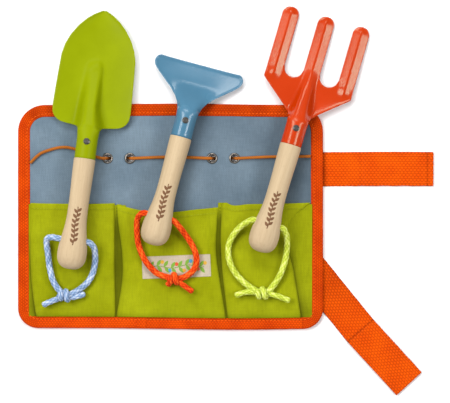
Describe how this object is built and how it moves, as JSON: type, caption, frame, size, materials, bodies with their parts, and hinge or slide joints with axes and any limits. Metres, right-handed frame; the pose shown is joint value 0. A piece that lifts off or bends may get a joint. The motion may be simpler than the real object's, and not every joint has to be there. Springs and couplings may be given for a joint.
{
  "type": "toy garden tool belt",
  "caption": "Child's cloth garden tool belt with open pockets, an elastic tool keeper, waist straps, and a trowel, a hoe and a fork with wooden handles and cord loops.",
  "frame": {"origin": "middle of the whole object's plan, on the surface it lies on", "axes": "+X along the belt towards the right strap, +Y up the belt towards the tools' heads, +Z away from the wearer"},
  "size_m": [0.3746, 0.3502, 0.0362],
  "materials": {
    "panel_cloth": "plain-woven polyester canvas, matt",
    "binding_tape": "ribbed polyester tape, matt",
    "pocket_cloth": "plain-woven polyester canvas, matt",
    "label_cloth": "satin woven label",
    "eyelet_steel": "nickel plated",
    "elastic": "braided elastic cord, matt",
    "webbing": "ribbed polypropylene webbing",
    "hook_tape": "hook tape",
    "loop_tape": "loop tape",
    "trowel_paint": "gloss enamel",
    "hoe_paint": "gloss enamel",
    "fork_paint": "gloss enamel",
    "handle_wood": "fine-sanded, unvarnished",
    "screw_steel": "zinc plated",
    "blue_braid": "flecked braided cord",
    "red_braid": "braided cord",
    "lemon_braid": "braided cord"
  },
  "bodies": {
    "belt": {"back_panel": "panel_cloth", "edge_binding": "binding_tape", "pocket_left": "pocket_cloth", "pocket_middle": "pocket_cloth", "pocket_right": "pocket_cloth", "label_patch": "label_cloth", "eyelets": "eyelet_steel", "eyelet_washers": "eyelet_steel", "elastic_cord": "elastic"},
    "right_strap": {"right_strap": "webbing", "right_strap_hook_patch": "hook_tape"},
    "left_strap": {"left_strap": "webbing"},
    "left_strap_end": {"left_strap_end": "webbing", "left_strap_loop_patch": "loop_tape"},
    "trowel": {"trowel_head": "trowel_paint", "trowel_handle": "handle_wood", "trowel_screw": "screw_steel"},
    "trowel_loop": {"trowel_lanyard": "blue_braid", "trowel_knot": "blue_braid"},
    "hoe": {"hoe_head": "hoe_paint", "hoe_handle": "handle_wood", "hoe_screw": "screw_steel"},
    "hoe_loop": {"hoe_lanyard": "red_braid", "hoe_knot": "red_braid"},
    "fork": {"fork_head": "fork_paint", "fork_handle": "handle_wood", "fork_screw": "screw_steel"},
    "fork_loop": {"fork_lanyard": "lemon_braid", "fork_knot": "lemon_braid"}
  },
  "joints": [
    {"name": "right_strap_hinge", "type": "hinge", "parent": "belt", "child": "right_strap", "pos_m": [0.0884, 0.0286, 0.0007], "axis": [0, 1, 0], "range_deg": [-90, 90]},
    {"name": "left_strap_hinge", "type": "hinge", "parent": "belt", "child": "left_strap", "pos_m": [-0.1875, 0.016, 0.0015], "axis": [0, 1, 0], "range_deg": [0, 180]},
    {"name": "left_strap_fold", "type": "hinge", "parent": "left_strap", "child": "left_strap_end", "pos_m": [0.0135, 0.016, 0.0015], "axis": [0.9026, -0.4305, 0], "range_deg": [0, 165]},
    {"name": "trowel_lift", "type": "slide", "parent": "belt", "child": "trowel", "axis": [0, 0, 1], "range_m": [0, 0.08]},
    {"name": "trowel_loop_swing", "type": "hinge", "parent": "trowel", "child": "trowel_loop", "pos_m": [-0.13631, -0.03527, 0.02215], "axis": [-0.9914, 0.1305, 0], "range_deg": [0, 120]},
    {"name": "hoe_lift", "type": "slide", "parent": "belt", "child": "hoe", "axis": [0, 0, 1], "range_m": [0, 0.08]},
    {"name": "hoe_loop_swing", "type": "hinge", "parent": "hoe", "child": "hoe_loop", "pos_m": [-0.05949, -0.01414, 0.02208], "axis": [-0.9659, 0.2588, 0], "range_deg": [0, 120]},
    {"name": "fork_lift", "type": "slide", "parent": "belt", "child": "fork", "axis": [0, 0, 1], "range_m": [0, 0.08]},
    {"name": "fork_loop_swing", "type": "hinge", "parent": "fork", "child": "fork_loop", "pos_m": [0.03748, -0.0206, 0.02208], "axis": [-0.9598, 0.2807, 0], "range_deg": [0, 120]}
  ]
}
